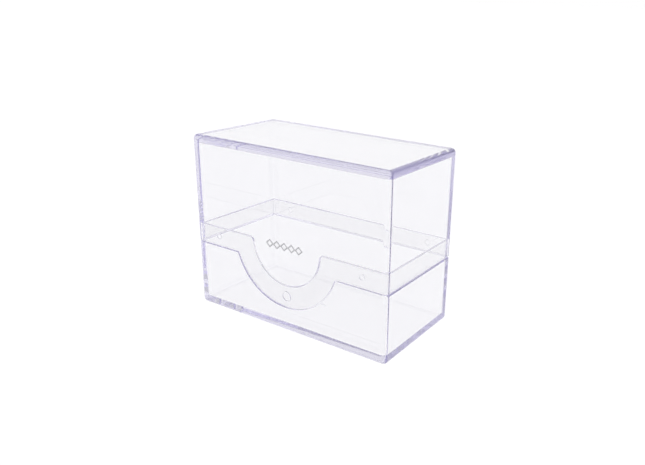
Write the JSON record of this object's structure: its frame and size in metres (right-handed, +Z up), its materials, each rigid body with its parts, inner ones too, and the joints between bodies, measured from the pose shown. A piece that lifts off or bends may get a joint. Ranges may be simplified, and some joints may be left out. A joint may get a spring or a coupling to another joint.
{
  "type": "card deck box",
  "caption": "Clear box for a deck of sleeved trading cards, with a round thumb notch in the tray's front and a lift-off lid that laps over the tray's rim.",
  "frame": {"origin": "centre of the footprint, on the surface that the box stands on", "axes": "+X along the box's length, +Y from the front with the thumb notch towards the back, +Z up"},
  "size_m": [0.1, 0.0514, 0.078],
  "materials": {
    "clear_plastic": "clear moulded plastic with a faint violet toner, polished inside and out",
    "print_ink": "grey pad-printed ink"
  },
  "bodies": {
    "tray": {"base_tray": "clear_plastic"},
    "lid": {"lid": "clear_plastic", "front_print": "print_ink"}
  },
  "joints": [
    {"name": "lid_lift", "type": "slide", "parent": "tray", "child": "lid", "axis": [0, 0, 1], "range_m": [0, 0.08]}
  ]
}
